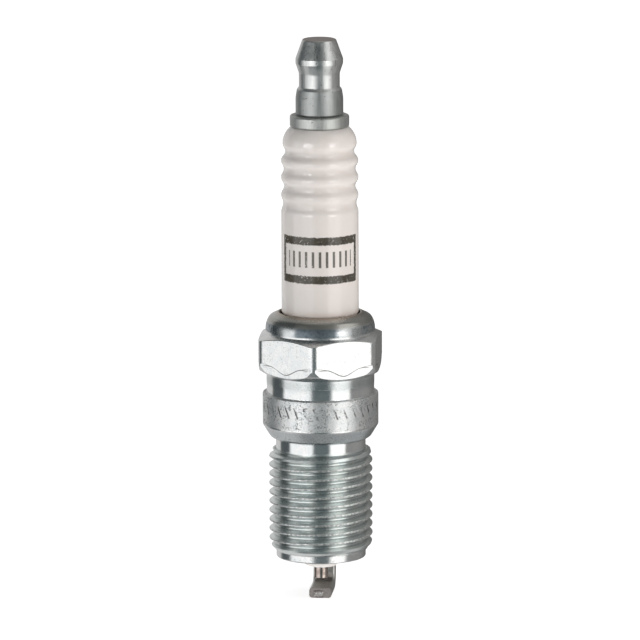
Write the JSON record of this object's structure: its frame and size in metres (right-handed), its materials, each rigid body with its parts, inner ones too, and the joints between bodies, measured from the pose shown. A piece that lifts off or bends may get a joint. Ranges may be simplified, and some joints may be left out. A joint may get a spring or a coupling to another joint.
{
  "type": "spark plug",
  "caption": "Spark plug: ribbed ceramic insulator, screw-on terminal, hexagon shell with conical seat, threaded reach and bent earth electrode.",
  "frame": {"origin": "on the plug's axis, in the plane where the conical seat is 14.8 mm across", "axes": "+Z along the plug's axis towards the terminal; -Y is the front, and the earth electrode is welded to the shell at the back, +Y side, with its tip under the centre electrode"},
  "size_m": [0.0166, 0.0178, 0.076],
  "materials": {
    "zinc_steel": "bright zinc plating",
    "terminal_steel": "satin zinc plating",
    "stud_steel": "plated steel",
    "glazed_alumina": "gloss glaze above the shell, matt below",
    "nickel_alloy": "bare nickel alloy",
    "copper": "bare copper",
    "glass_seal": "copper-filled glass",
    "resistor_glass": "carbon-filled glass",
    "talc": "pressed powder",
    "soft_steel": "copper-washed soft steel"
  },
  "bodies": {
    "plug": {"shell": "zinc_steel", "ground_electrode": "nickel_alloy", "insulator": "glazed_alumina", "terminal_stud": "stud_steel", "upper_glass_seal": "glass_seal", "resistor": "resistor_glass", "lower_glass_seal": "glass_seal", "centre_electrode": "nickel_alloy", "centre_electrode_core": "copper", "seat_gasket": "soft_steel", "talc_packing": "talc", "upper_packing_ring": "soft_steel", "lower_packing_ring": "soft_steel"},
    "terminal": {"terminal_nut": "terminal_steel"}
  },
  "joints": [
    {"name": "terminal_nut_unscrew", "type": "slide", "parent": "plug", "child": "terminal", "axis": [0, 0, 1], "range_m": [0, 0.009]}
  ]
}
